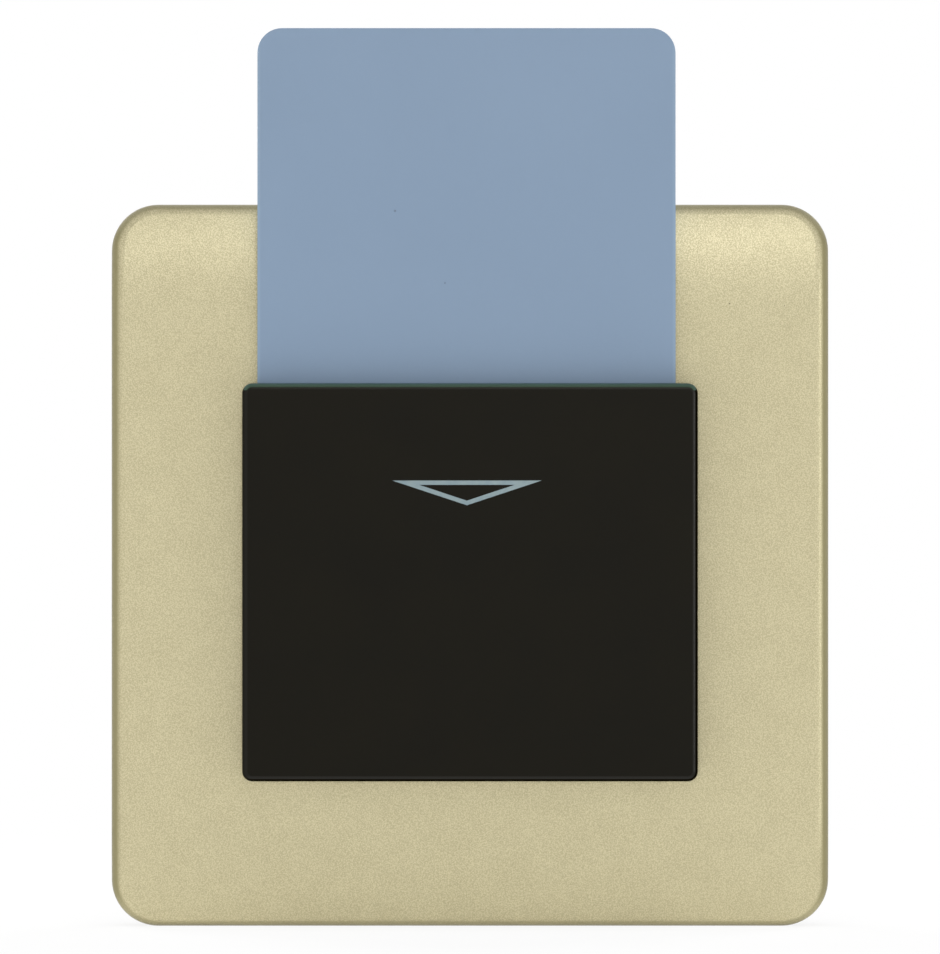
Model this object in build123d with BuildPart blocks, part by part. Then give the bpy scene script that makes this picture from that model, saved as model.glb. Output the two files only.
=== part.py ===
from build123d import *
import os
from math import cos, pi, radians, sin, sqrt

# Hotel key card switch. The origin is on the wall, midway between the two wall screws.
# X runs to the viewer's right, Z runs up, and the switch faces -Y. Sizes are in millimetres.
# A place that ends in "out" is a distance from the wall towards the viewer,
# and one that ends in "deep" is a distance behind the wall's surface.

# Fits that several pieces share
overrun = 1.0
push_fit = 0.1
running_fit = 0.05
part_gap = 1.0
pick_tolerance = 0.01

# Key card, the standard bank card
card_width = 53.98
card_height = 85.6
card_thickness = 0.76
card_corner_radius = 3.18

# Front plate
plate_width = 92.9
plate_height = 93.6
plate_depth = 8.6
plate_wall = 2.0
plate_corner_radius = 6.0
plate_edge_radius = 1.8
roll_height = 12.3
roll_radius = 40.0

# Card pocket
cover_height = 51.2
cover_drop = 2.1
cover_side_wall = 1.7
cover_front_wall = 2.0
cover_corner_radius = 1.3
cover_edge_radius = 0.8
cover_lead_in = 0.6
rib_depth = 2.0
rib_width = 1.2
rib_places_share = (-0.72, -0.26, 0.26, 0.72)
card_side_clearance = 0.61
card_lean_share = -0.74
card_slot_clearance = 0.4
card_stop_rise = 11.5
stop_thickness = 2.0
pip_length = 6.0
pip_height = 0.5
pip_thickness = 0.5
pip_rise = 9.0

# Arrow mark
arrow_width = 19.2
arrow_height = 3.18
arrow_stroke = 0.56
arrow_drop = 12.5
arrow_shift = -0.4
arrow_inlay_depth = 0.7

# Pocket base
base_thickness = 1.3
base_top_drop = 0.8
opening_side_lap = 7.3
opening_top_lap = 3.9
opening_bottom_lap = 2.5
spigot_wall = 1.5
spigot_length = 3.1
hook_length = 7.0
hook_lap = 0.5
hook_height = 1.0
hook_spread_share = 0.55
hook_slit = 0.8
hook_slit_root = 0.6

# Screws between the pocket's two halves
cover_screw_radius = 1.1
cover_screw_length = 3.6
cover_screw_head_radius = 2.0
cover_screw_head_height = 1.4
cover_screw_spread = 34.0
cover_boss_radius = 2.4

# Card lever, its pin, clip and spring
lever_throw_degrees = 20.0
lever_pivot_out = 5.0
lever_hub_radius = 2.2
lever_hub_width = 7.0
lever_arm_radius = 1.5
finger_width = 6.0
finger_thickness = 1.6
finger_past_card = 0.84
finger_side_room = 0.5
finger_turn_room = 0.7
finger_gap = 0.1
nose_radius = 1.0
nose_drop = 3.2
nose_gap = 0.1
pin_radius = 1.0
pin_head_radius = 1.7
pin_head_thickness = 0.7
pin_tail = 0.7
clip_radius = 1.9
clip_thickness = 0.4
clip_groove_depth = 0.3
clip_mouth = 1.1
lug_radius = 2.2
lug_thickness = 1.6
lug_gap = 0.3
spring_coil_radius = 1.65
spring_wire_radius = 0.2
spring_pitch = 0.86
spring_half_turn_count = 7
spring_leg_length = 3.2
spring_leg_gap = 0.3
peg_start = 2.0
peg_length = 1.1
peg_thickness = 0.8
peg_reach = 1.5
anchor_thickness = 0.7
anchor_length = 1.6
spring_point_count = 24

# Mounting frame
frame_gap = 1.2
frame_thickness = 2.2
frame_corner_radius = 4.0
frame_window_side_room = 11.1
frame_window_room = 2.3
frame_window_corner = 2.0
frame_rim = 1.4
frame_rim_height = 2.0
wall_screw_spacing = 60.3
wall_slot_length = 7.0
wall_slot_radius = 2.2
clip_bar_inset = 6.0
clip_bar_thickness = 1.6
clip_bar_length = 8.0
clip_bar_height = 3.6
clip_spread = 56.0
clip_lip = 0.8
clip_lip_height = 1.2
clip_play = 0.2
tongue_length = 7.0
tongue_thickness = 1.3
tongue_gap = 0.3

# Rear housing
screw_side_room = 3.65
housing_height = 64.0
housing_depth = 28.0
housing_wall = 1.8
housing_corner_radius = 3.0
housing_seat = 0.6
housing_fit = 0.2
corner_boss_radius = 2.8
corner_boss_length = 11.0
corner_boss_sink = 0.4
housing_screw_radius = 1.4
housing_screw_length = 9.0
housing_screw_head_radius = 2.4
housing_screw_head_height = 1.5
screw_slot_width = 0.6
screw_slot_depth = 0.6

# Circuit board
board_front_deep = 8.2
board_thickness = 1.6
board_gap = 0.5
board_column_radius = 2.2
board_column_spread_x = 40.6
board_column_spread_z = 34.0
board_screw_radius = 1.0
board_screw_length = 6.0
board_screw_head_radius = 1.9
board_screw_head_height = 1.3
lead_fit = 0.1
lead_tail = 1.0

# Microswitch
switch_length = 19.8
switch_height = 6.4
switch_depth = 10.2
switch_hole_radius = 1.2
switch_hole_spread = 9.5
switch_hole_deep_share = 0.72
switch_pin_radius = 0.6
switch_pin_pitch = 8.0
button_radius = 1.0
button_pressed_height = 0.5
button_inner_length = 3.0
button_well_spare = 0.4

# Locator lamp and its light pipe
lamp_radius = 1.5
lamp_rim_radius = 1.9
lamp_rim_height = 1.0
lamp_height = 5.3
lamp_lead_radius = 0.25
lamp_lead_pitch = 2.54
lamp_gap = 0.5
pipe_radius = 1.5
pipe_collar_radius = 2.3
pipe_collar_thickness = 0.8
pipe_sink = 0.1

# Relay
relay_length = 28.5
relay_width = 12.6
relay_depth = 15.5
relay_edge_radius = 0.8
relay_pin_radius = 0.5
relay_pin_spread_x = 20.0
relay_pin_spread_z = 7.0

# Film capacitor, smoothing capacitor and varistor
film_length = 18.0
film_width = 8.5
film_depth = 14.5
film_edge_radius = 0.6
film_lead_pitch = 15.0
film_lead_radius = 0.4
film_shift = 6.0
can_radius = 4.0
can_length = 11.5
can_edge_radius = 0.5
can_lead_pitch = 3.5
can_lead_radius = 0.3
varistor_radius = 4.5
varistor_thickness = 3.6
varistor_stand = 1.2
varistor_lead_pitch = 5.0
varistor_lead_radius = 0.3
varistor_shift = 12.6

# Diodes and resistor, which lie along the board
diode_radius = 1.35
diode_length = 5.2
diode_pitch = 4.0
diode_count = 4
diode_lead_radius = 0.35
diode_lead_reach = 1.6
resistor_radius = 2.0
resistor_length = 11.0
resistor_lead_radius = 0.35
resistor_lead_reach = 1.8
resistor_shift = 9.0
axial_stand = 0.4

# Timer chip and transistor
chip_length = 9.4
chip_width = 6.35
chip_thickness = 3.3
chip_row_count = 4
chip_leg_pitch = 2.54
chip_leg_width = 0.5
chip_leg_thickness = 0.25
chip_leg_spread = 7.62
chip_stand = 0.5
chip_shift = 8.5
transistor_radius = 2.4
transistor_length = 4.6
transistor_stand = 2.0
transistor_flat_share = 0.55
transistor_leg_pitch = 1.27
transistor_leg_radius = 0.2
transistor_shift = 5.2

# Terminal block with its brass pillars and clamp screws
pole_pitch = 10.4
pole_count = 3
block_end_wall = 1.2
block_floor = 1.4
block_roof = 1.2
block_back_wall = 4.7
pillar_width = 7.4
pillar_length = 12.0
pillar_height = 9.0
pillar_stand = 0.5
pillar_wall = 1.2
pillar_fit = 0.1
wire_bore_radius = 2.1
wire_entry_radius = 2.5
pillar_tail_radius = 0.6
clamp_screw_radius = 1.75
clamp_screw_head_radius = 2.3
clamp_screw_head_height = 2.0
clamp_screw_tip_gap = 0.3
clamp_screw_head_gap = 0.3
clamp_screw_access = 0.4

# Places that follow from the sizes
pocket_width = card_width + 2 * card_side_clearance
cover_width = pocket_width + 2 * cover_side_wall
cover_top = cover_height / 2 - cover_drop
cover_bottom = cover_top - cover_height
base_front_out = plate_depth + base_thickness
card_back_out = base_front_out + card_slot_clearance
card_front_out = card_back_out + card_thickness
rib_out = card_front_out + card_slot_clearance
cover_inner_out = rib_out + rib_depth
cover_front_out = cover_inner_out + cover_front_wall
card_bottom = cover_bottom + card_stop_rise
card_shift = card_lean_share * card_side_clearance
plate_back_out = plate_depth - plate_wall
roll_start = plate_height / 2 - roll_height

opening_left = opening_side_lap - cover_width / 2
opening_top = cover_top - opening_top_lap
opening_bottom = cover_bottom + opening_bottom_lap
spigot_half = -opening_left - push_fit
spigot_top = opening_top - push_fit
spigot_bottom = opening_bottom + push_fit
spigot_back_out = plate_depth - spigot_length
lamp_rise = spigot_top - spigot_wall - pipe_collar_radius - 2 * push_fit
cover_screw_z = spigot_bottom + spigot_wall + cover_screw_head_radius + push_fit

lever_half_throw = radians(lever_throw_degrees) / 2
finger_reach = card_back_out + card_thickness / 2 - lever_pivot_out
finger_top = card_bottom - finger_gap
lever_pivot_z = finger_top + finger_reach * sin(lever_half_throw)
switch_front_out = switch_depth - board_front_deep
button_tip_out = switch_front_out + button_pressed_height
nose_out = button_tip_out + nose_gap + nose_radius
button_z = lever_pivot_z - nose_drop
spring_room = spring_pitch * spring_half_turn_count / 2 + 2 * (spring_wire_radius + spring_leg_gap)
lug_left = -lever_hub_width / 2 - lug_gap
lug_right = lever_hub_width / 2 + spring_room

board_back_deep = board_front_deep + board_thickness
housing_width = wall_screw_spacing - 2 * screw_side_room
housing_inner_width = housing_width - 2 * housing_wall
housing_inner_height = housing_height - 2 * housing_wall
housing_floor_deep = housing_depth - housing_wall
corner_boss_x = housing_inner_width / 2 - corner_boss_radius + corner_boss_sink
corner_boss_z = housing_inner_height / 2 - corner_boss_radius + corner_boss_sink
frame_width = plate_width - 2 * (plate_wall + frame_gap)
frame_height = plate_height - 2 * (plate_wall + frame_gap)
frame_window_width = switch_length + 2 * frame_window_side_room
frame_window_top = lamp_rise + pipe_collar_radius + frame_window_room
frame_window_bottom = button_z - switch_height / 2 - frame_window_room

block_width = pole_count * pole_pitch + block_end_wall
block_height = block_floor + pillar_height + block_roof
block_depth = pillar_stand + pillar_length + block_back_wall
block_bottom = -housing_height / 2
block_top = block_bottom + block_height
pillar_front_deep = board_back_deep + pillar_stand
pillar_back_deep = pillar_front_deep + pillar_length
pillar_z = block_bottom + block_floor + pillar_height / 2
wire_bore_deep = pillar_front_deep + pillar_wall + wire_bore_radius
pole_places = [((pole - (pole_count - 1) / 2) * pole_pitch, pillar_z) for pole in range(pole_count)]

relay_z = button_z + switch_pin_radius + part_gap / 2 + relay_width / 2
capacitor_row = relay_z + relay_width / 2 + part_gap
film_z = capacitor_row + film_width / 2
can_x = film_length / 2 - film_shift + part_gap + can_radius
can_z = capacitor_row + can_radius
axial_row = capacitor_row + film_width + part_gap
diode_z = axial_row + diode_lead_reach + diode_length / 2
resistor_z = axial_row + resistor_radius
upper_row = diode_z + diode_length / 2 + diode_lead_reach + 2 * part_gap
chip_z = upper_row + chip_leg_spread / 2


def wall_plane(out):
    """The plane parallel to the wall that lies this far in front of it."""
    return Plane.XZ.offset(out)


def save(name, piece):
    """Label a finished piece and write it under its node's name."""
    piece.part.label = name
    export_step(piece.part, f"parts/{name}.step")


def lead_pair(x, z, pitch):
    """The places of two leads side by side."""
    return [(x - pitch / 2, z), (x + pitch / 2, z)]


def round_leads(places, radius, start_deep):
    """Straight round leads from a component's foot, through the board, to its tail."""
    with BuildPart() as leads:
        with BuildSketch(wall_plane(-start_deep)):
            with Locations(*places):
                Circle(radius)
        extrude(amount=start_deep - board_front_deep + lead_tail)
    return leads


def slotted_screws(places, seat_out, radius, length, head_radius, head_height, facing):
    """Screws with their heads on the given seat: facing is 1 when driven from the front, -1 from behind."""
    with BuildPart() as screws:
        with BuildSketch(wall_plane(seat_out)):
            with Locations(*places):
                Circle(head_radius)
        extrude(amount=facing * head_height)
        with BuildSketch(wall_plane(seat_out)):
            with Locations(*places):
                Circle(radius)
        extrude(amount=-facing * length)
        with BuildSketch(wall_plane(seat_out + facing * head_height)):
            with Locations(*places):
                Rectangle(2 * head_radius + overrun, screw_slot_width)
        extrude(amount=-facing * screw_slot_depth, mode=Mode.SUBTRACT)
    return screws


# Front plate: a shell whose flat face rolls back along its top and bottom edges
def plate_block(width, height, depth, corner_radius, radius):
    """A slab on the wall with rounded corners and a rolled top and bottom."""
    half = height / 2
    drop = radius - sqrt(radius**2 - (half - roll_start) ** 2)
    with BuildPart() as block:
        with BuildSketch(Plane.YZ):
            with BuildLine():
                face = Line((-depth, -roll_start), (-depth, roll_start))
                upper = TangentArc(face @ 1, (drop - depth, half), tangent=(0, 1))
                lower = TangentArc(face @ 0, (drop - depth, -half), tangent=(0, -1))
                Polyline(upper @ 1, (0, half), (0, -half), lower @ 1)
            make_face()
        extrude(amount=width / 2, both=True)
        fillet(block.edges().filter_by(Axis.Y), radius=corner_radius)
    return block.part


def is_front_rim(edge):
    """True for the edges around the plate's front, and not for the seams of its rolls."""
    middle = edge.center()
    seam = abs(abs(middle.Z) - roll_start) < pick_tolerance and abs(middle.X) < pick_tolerance
    return middle.Y < -plate_wall and not seam


def tongue_profile():
    """The plate's right clip tongue, seen from above, with its hook turned inwards."""
    inner = frame_width / 2 - clip_bar_inset + clip_lip + tongue_gap
    hook = inner - clip_lip
    top = -(frame_thickness + clip_bar_height - clip_lip_height - clip_play)
    foot = top + clip_lip_height
    with BuildSketch(mode=Mode.PRIVATE) as profile:
        with BuildLine():
            Polyline(
                (inner, -plate_back_out),
                (inner + tongue_thickness, -plate_back_out),
                (inner + tongue_thickness, foot),
                (inner, foot),
                (hook, top),
                (inner, top),
                close=True,
            )
        make_face()
    return profile.sketch


with BuildPart() as front_plate:
    add(plate_block(plate_width, plate_height, plate_depth, plate_corner_radius, roll_radius))
    fillet(front_plate.edges().filter_by(is_front_rim), radius=plate_edge_radius)
    inner_radius = roll_radius - plate_wall
    inner_width = plate_width - 2 * plate_wall
    inner_height = plate_height - 2 * plate_wall
    inner_corner = plate_corner_radius - plate_wall
    add(
        plate_block(inner_width, inner_height, plate_back_out, inner_corner, inner_radius),
        mode=Mode.SUBTRACT,
    )
    with BuildSketch(wall_plane(0)):
        with Locations((0, (opening_top + opening_bottom) / 2)):
            Rectangle(-2 * opening_left, opening_top - opening_bottom)
    extrude(amount=plate_depth + overrun, mode=Mode.SUBTRACT)
    for side in (-1, 1):
        with BuildSketch(Plane.XY.offset(side * clip_spread / 2)):
            add(tongue_profile())
        extrude(amount=tongue_length / 2, both=True)
    mirror(about=Plane.YZ)
save("front_plate", front_plate)


# Pocket cover: a shallow tray, open at its back and along its top
def arrow_outline():
    """The outline of a wide arrowhead that points down, as a band of even width."""
    middle = cover_top - arrow_drop
    with BuildSketch(wall_plane(cover_front_out), mode=Mode.PRIVATE) as outline:
        with BuildLine():
            Polyline(
                (arrow_shift - arrow_width / 2, middle),
                (arrow_shift + arrow_width / 2, middle),
                (arrow_shift, middle - arrow_height),
                close=True,
            )
        make_face()
        offset(amount=-arrow_stroke, kind=Kind.INTERSECTION, mode=Mode.SUBTRACT)
    return outline.sketch


cover_screw_places = lead_pair(0, cover_screw_z, cover_screw_spread)
pip_z = (cover_top + cover_bottom) / 2 + pip_rise
pip_out = plate_depth + base_thickness / 2

with BuildPart() as pocket_cover:
    with BuildSketch(wall_plane(plate_depth)):
        with Locations((0, (cover_top + cover_bottom) / 2)):
            RectangleRounded(cover_width, cover_height, cover_corner_radius)
    extrude(amount=cover_front_out - plate_depth)
    fillet(pocket_cover.faces().sort_by(Axis.Y)[0].edges(), radius=cover_edge_radius)
    with BuildSketch(wall_plane(plate_depth)):
        with Locations((0, cover_bottom + cover_side_wall)):
            Rectangle(pocket_width, cover_height, align=(Align.CENTER, Align.MIN))
    extrude(amount=cover_inner_out - plate_depth, mode=Mode.SUBTRACT)
    lip = pocket_cover.edges().filter_by(Axis.X).group_by(Axis.Z)[-1].sort_by(Axis.Y)[-1]
    chamfer(lip, length=cover_lead_in)
    rib_bottom = card_bottom + stop_thickness
    rib_top = cover_top - cover_lead_in - rib_depth
    with BuildSketch(wall_plane(cover_inner_out)):
        for place_share in rib_places_share:
            with Locations((place_share * pocket_width / 2, rib_bottom)):
                Rectangle(rib_width, rib_top - rib_bottom, align=(Align.CENTER, Align.MIN))
    extrude(amount=-rib_depth)
    rib_tops = pocket_cover.edges().filter_by(Axis.X).filter_by_position(
        Axis.Z, rib_top - pick_tolerance, rib_top + pick_tolerance
    )
    chamfer(rib_tops.group_by(Axis.Y)[-1], length=rib_depth / 2)
    with BuildSketch(wall_plane(cover_inner_out)):
        with Locations(*cover_screw_places):
            Circle(cover_boss_radius)
    extrude(amount=base_front_out - cover_inner_out)
    with BuildSketch(wall_plane(base_front_out)):
        with Locations(*cover_screw_places):
            Circle(cover_screw_radius)
    extrude(amount=cover_screw_length, mode=Mode.SUBTRACT)
    for side in (-1, 1):
        with BuildSketch(Plane.XY.offset(pip_z)):
            with Locations((side * pocket_width / 2, -pip_out)):
                Rectangle(2 * pip_height, pip_thickness)
        extrude(amount=pip_length / 2, both=True)
    add(extrude(arrow_outline(), amount=-arrow_inlay_depth, mode=Mode.PRIVATE), mode=Mode.SUBTRACT)
save("pocket_cover", pocket_cover)

with BuildPart() as arrow_inlay:
    add(extrude(arrow_outline(), amount=-arrow_inlay_depth, mode=Mode.PRIVATE))
save("arrow_inlay", arrow_inlay)

# Key card, resting on the pocket's stops and leaning to one side of its clearance
with BuildPart() as key_card:
    with BuildSketch(wall_plane(card_back_out)):
        with Locations((card_shift, card_bottom + card_height / 2)):
            RectangleRounded(card_width, card_height, card_corner_radius)
    extrude(amount=card_thickness)
save("key_card", key_card)

# Pocket base: back wall and floor of the pocket, with a spigot through the plate
base_width = pocket_width - 2 * push_fit
base_top = cover_top - base_top_drop
base_bottom = cover_bottom + cover_side_wall + push_fit
window_half = finger_width / 2 + finger_side_room
window_top = lever_pivot_z + finger_reach * sin(lever_half_throw) + finger_turn_room
window_bottom = finger_top - finger_thickness - finger_turn_room
hook_z = hook_spread_share * (spigot_top - spigot_bottom) / 2
spigot_middle = (spigot_top + spigot_bottom) / 2
spigot_height = spigot_top - spigot_bottom


def lug_profile():
    """One lever lug, seen from the side: an eye round the pivot, joined to the base."""
    with BuildSketch(mode=Mode.PRIVATE) as profile:
        with Locations((-lever_pivot_out, lever_pivot_z)):
            Circle(lug_radius)
            Rectangle(
                plate_depth - lever_pivot_out, 2 * lug_radius, align=(Align.MAX, Align.CENTER)
            )
            Circle(pin_radius, mode=Mode.SUBTRACT)
    return profile.sketch


with BuildPart() as pocket_base:
    with BuildSketch(wall_plane(plate_depth)):
        with Locations((0, base_bottom)):
            Rectangle(base_width, base_top - base_bottom, align=(Align.CENTER, Align.MIN))
    extrude(amount=base_thickness)
    entry = pocket_base.edges().filter_by(Axis.X).group_by(Axis.Z)[-1].sort_by(Axis.Y)[0]
    chamfer(entry, length=cover_lead_in)
    stop_width = base_width / 2 - window_half
    with BuildSketch(wall_plane(base_front_out)):
        with Locations((window_half, card_bottom), (-window_half - stop_width, card_bottom)):
            Rectangle(stop_width, stop_thickness, align=(Align.MIN, Align.MAX))
    extrude(amount=cover_inner_out - push_fit - base_front_out)
    with BuildSketch(wall_plane(plate_depth)):
        with Locations((0, spigot_middle)):
            Rectangle(2 * spigot_half, spigot_height)
            Rectangle(
                2 * (spigot_half - spigot_wall), spigot_height - 2 * spigot_wall, mode=Mode.SUBTRACT
            )
    extrude(amount=-spigot_length)
    hook_out = plate_back_out - push_fit
    for side in (-1, 1):
        with BuildSketch(Plane.XY.offset(spigot_middle + side * hook_z)):
            with BuildLine():
                Polyline(
                    (spigot_half, -hook_out),
                    (spigot_half + hook_lap, -hook_out),
                    (spigot_half, hook_height - hook_out),
                    close=True,
                )
            make_face()
        extrude(amount=hook_length / 2, both=True)
    mirror(about=Plane.YZ)
    slit_step = hook_length / 2 + hook_slit
    slit_rows = [hook_z * side + slit_step * end for side in (-1, 1) for end in (-1, 1)]
    with BuildSketch(wall_plane(spigot_back_out)):
        for slit_row in slit_rows:
            with Locations((0, spigot_middle + slit_row)):
                Rectangle(2 * spigot_half + overrun, hook_slit)
                Rectangle(2 * (spigot_half - spigot_wall) - overrun, hook_slit, mode=Mode.SUBTRACT)
    extrude(amount=spigot_length - hook_slit_root, mode=Mode.SUBTRACT)
    for lug_x in (lug_left - lug_thickness, lug_right):
        with BuildSketch(Plane.YZ.offset(lug_x)):
            add(lug_profile())
        extrude(amount=lug_thickness)
    anchor_z = lever_pivot_z + spring_coil_radius + spring_wire_radius
    with BuildSketch(wall_plane(plate_depth)):
        with Locations((lug_right, anchor_z)):
            Rectangle(anchor_length, anchor_thickness, align=(Align.MAX, Align.MIN))
    extrude(amount=lever_pivot_out - plate_depth + lug_radius / 2)
    with BuildSketch(wall_plane(plate_depth)):
        with Locations((0, window_bottom)):
            Rectangle(2 * window_half, window_top - window_bottom, align=(Align.CENTER, Align.MIN))
        with Locations(*cover_screw_places):
            Circle(cover_screw_radius + push_fit)
        with Locations((0, lamp_rise)):
            Circle(pipe_radius + running_fit)
    extrude(amount=base_thickness, mode=Mode.SUBTRACT)
    for side in (-1, 1):
        with BuildSketch(Plane.XY.offset(pip_z)):
            with Locations((side * base_width / 2, -pip_out)):
                Rectangle(2 * (pip_height + push_fit), pip_thickness + 2 * push_fit)
        extrude(amount=pip_length / 2 + push_fit, both=True, mode=Mode.SUBTRACT)
save("pocket_base", pocket_base)


# Screws that hold the cover on the base, driven from behind
cover_screws = slotted_screws(
    cover_screw_places,
    plate_depth,
    cover_screw_radius,
    base_thickness + cover_screw_length,
    cover_screw_head_radius,
    cover_screw_head_height,
    -1,
)
save("cover_screws", cover_screws)

# Card lever: a finger under the card's lower edge and a nose on the switch's button
with BuildPart() as card_lever:
    with BuildSketch(Plane.YZ):
        with Locations((-lever_pivot_out, lever_pivot_z)):
            Circle(lever_hub_radius)
    extrude(amount=lever_hub_width / 2, both=True)
    with BuildSketch(Plane.YZ):
        with Locations((-lever_pivot_out, lever_pivot_z)):
            Circle(lever_arm_radius)
        with Locations((-nose_out, button_z)):
            Circle(nose_radius)
        make_hull()
    extrude(amount=finger_width / 2, both=True)
    with BuildSketch(Plane.YZ):
        finger_tip_out = card_front_out + finger_past_card
        finger_length = finger_tip_out - lever_pivot_out
        with Locations((-lever_pivot_out - finger_length / 2, finger_top - finger_thickness / 2)):
            SlotOverall(finger_length, finger_thickness)
    extrude(amount=finger_width / 2, both=True)
    peg_bottom = lever_pivot_z - spring_coil_radius + spring_wire_radius + running_fit
    with BuildSketch(Plane.YZ.offset(finger_width / 2)):
        with Locations((-lever_pivot_out - peg_start, peg_bottom)):
            Rectangle(peg_length, peg_thickness, align=(Align.MAX, Align.MIN))
    extrude(amount=peg_reach)
    with BuildSketch(Plane.YZ):
        with Locations((-lever_pivot_out, lever_pivot_z)):
            Circle(pin_radius + running_fit)
    extrude(amount=lever_hub_width, both=True, mode=Mode.SUBTRACT)
save("card_lever", card_lever)

# Lever pin with a head at its left end and a groove for the clip at its right end
groove_x = lug_right + lug_thickness + running_fit
pin_end_x = groove_x + clip_thickness + pin_tail
groove_radius = pin_radius - clip_groove_depth


def pin_step(radius, start_x, end_x):
    """One cylinder of the lever's pin, from one place along X to another."""
    with BuildPart() as step:
        with BuildSketch(Plane.YZ.offset(start_x)):
            with Locations((-lever_pivot_out, lever_pivot_z)):
                Circle(radius)
        extrude(amount=end_x - start_x)
    return step.part


with BuildPart() as lever_pin:
    head_x = lug_left - lug_thickness
    add(pin_step(pin_radius, head_x, groove_x))
    add(pin_step(pin_head_radius, head_x - pin_head_thickness, head_x))
    add(pin_step(groove_radius, groove_x, groove_x + clip_thickness))
    add(pin_step(pin_radius, groove_x + clip_thickness, pin_end_x))
save("lever_pin", lever_pin)

with BuildPart() as pin_clip:
    with BuildSketch(Plane.YZ.offset(groove_x)):
        with Locations((-lever_pivot_out, lever_pivot_z)):
            Circle(clip_radius)
            Circle(groove_radius, mode=Mode.SUBTRACT)
            Rectangle(
                clip_mouth, clip_radius + overrun, align=(Align.CENTER, Align.MAX), mode=Mode.SUBTRACT
            )
    extrude(amount=clip_thickness)
save("pin_clip", pin_clip)


# Lever spring: a torsion spring round the pin, with one leg on each neighbour
def coil_point(turn):
    """The middle of the wire after this many turns from the anchored leg."""
    angle = 2 * pi * turn
    x = lug_right - spring_leg_gap - spring_wire_radius - spring_pitch * turn
    y = spring_coil_radius * sin(angle) - lever_pivot_out
    z = spring_coil_radius * cos(angle) + lever_pivot_z
    return Vector(x, y, z)


def coil_tangent(turn):
    """The wire's direction there."""
    angle = 2 * pi * turn
    run = 2 * pi * spring_coil_radius
    return Vector(-spring_pitch, run * cos(angle), -run * sin(angle)).normalized()


def biarc(start, start_way, end, end_way):
    """Two arcs that leave one point and reach another in the given directions."""
    chord = end - start
    ways = start_way + end_way
    turn = 2 * (1 - start_way.dot(end_way))
    along = chord.dot(ways)
    reach = (sqrt(along**2 + turn * chord.dot(chord)) - along) / turn
    middle = (start + end + (start_way - end_way) * reach) * 0.5
    middle_way = (end - end_way * reach - start - start_way * reach).normalized()
    TangentArc(start, middle, tangent=start_way)
    TangentArc(middle, end, tangent=middle_way)


def least_gap(points, skip):
    """The least gap between stretches of wire that aren't neighbours."""
    gaps = []
    for first in range(len(points)):
        for second in range(first + skip, len(points)):
            gaps.append((points[first] - points[second]).length - 2 * spring_wire_radius)
    return min(gaps)


with BuildPart() as lever_spring:
    with BuildLine() as spring_line:
        first = coil_point(0)
        last = coil_point(spring_half_turn_count / 2)
        Line(first - coil_tangent(0) * spring_leg_length, first)
        for quarter in range(2 * spring_half_turn_count):
            start = quarter / 4
            end = (quarter + 1) / 4
            biarc(coil_point(start), coil_tangent(start), coil_point(end), coil_tangent(end))
        Line(last, last + coil_tangent(spring_half_turn_count / 2) * spring_leg_length)
    with BuildSketch(Plane(origin=spring_line.line @ 0, z_dir=spring_line.line % 0)):
        Circle(spring_wire_radius)
    sweep(path=spring_line.line)
coil_points = [coil_point(step / spring_point_count) for step in range(spring_point_count * spring_half_turn_count // 2)]
print("lever_spring least gap to itself", round(least_gap(coil_points, spring_point_count // 2), 3))
save("lever_spring", lever_spring)


# Mounting frame: lies on the wall, takes the wall screws and carries the plate's clips
def clip_bar_profile():
    """The frame's right clip bar, seen from above, with its lip turned outwards."""
    outer = frame_width / 2 - clip_bar_inset
    top = -(frame_thickness + clip_bar_height)
    lip_foot = top + clip_lip_height
    with BuildSketch(mode=Mode.PRIVATE) as profile:
        with BuildLine():
            Polyline(
                (outer - clip_bar_thickness, -frame_thickness),
                (outer - clip_bar_thickness, top),
                (outer, top),
                (outer + clip_lip, lip_foot),
                (outer, lip_foot),
                (outer, -frame_thickness),
                close=True,
            )
        make_face()
    return profile.sketch


housing_screw_places = [(x * corner_boss_x, z * corner_boss_z) for x in (-1, 1) for z in (-1, 1)]

with BuildPart() as mounting_frame:
    with BuildSketch(wall_plane(0)):
        RectangleRounded(frame_width, frame_height, frame_corner_radius)
    extrude(amount=frame_thickness)
    with BuildSketch(wall_plane(frame_thickness)):
        RectangleRounded(frame_width, frame_height, frame_corner_radius)
        RectangleRounded(
            frame_width - 2 * frame_rim,
            frame_height - 2 * frame_rim,
            frame_corner_radius - frame_rim,
            mode=Mode.SUBTRACT,
        )
    extrude(amount=frame_rim_height)
    with BuildSketch(wall_plane(0)):
        RectangleRounded(
            housing_width + 2 * housing_fit, housing_height + 2 * housing_fit, housing_corner_radius
        )
    extrude(amount=housing_seat, mode=Mode.SUBTRACT)
    with BuildSketch(wall_plane(0)):
        with Locations((0, (frame_window_top + frame_window_bottom) / 2)):
            frame_window_height = frame_window_top - frame_window_bottom
            RectangleRounded(frame_window_width, frame_window_height, frame_window_corner)
        with Locations(*lead_pair(0, 0, wall_screw_spacing)):
            SlotOverall(wall_slot_length, 2 * wall_slot_radius)
        with Locations(*housing_screw_places):
            Circle(housing_screw_radius + push_fit)
    extrude(amount=frame_thickness, mode=Mode.SUBTRACT)
    for side in (-1, 1):
        with BuildSketch(Plane.XY.offset(side * clip_spread / 2)):
            add(clip_bar_profile())
        extrude(amount=clip_bar_length / 2, both=True)
    mirror(about=Plane.YZ)
save("mounting_frame", mounting_frame)

# Rear housing: an open box that hangs behind the frame, inside the wall box
board_column_places = [
    (x * board_column_spread_x / 2, z * board_column_spread_z / 2) for x in (-1, 1) for z in (-1, 1)
]

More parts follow.
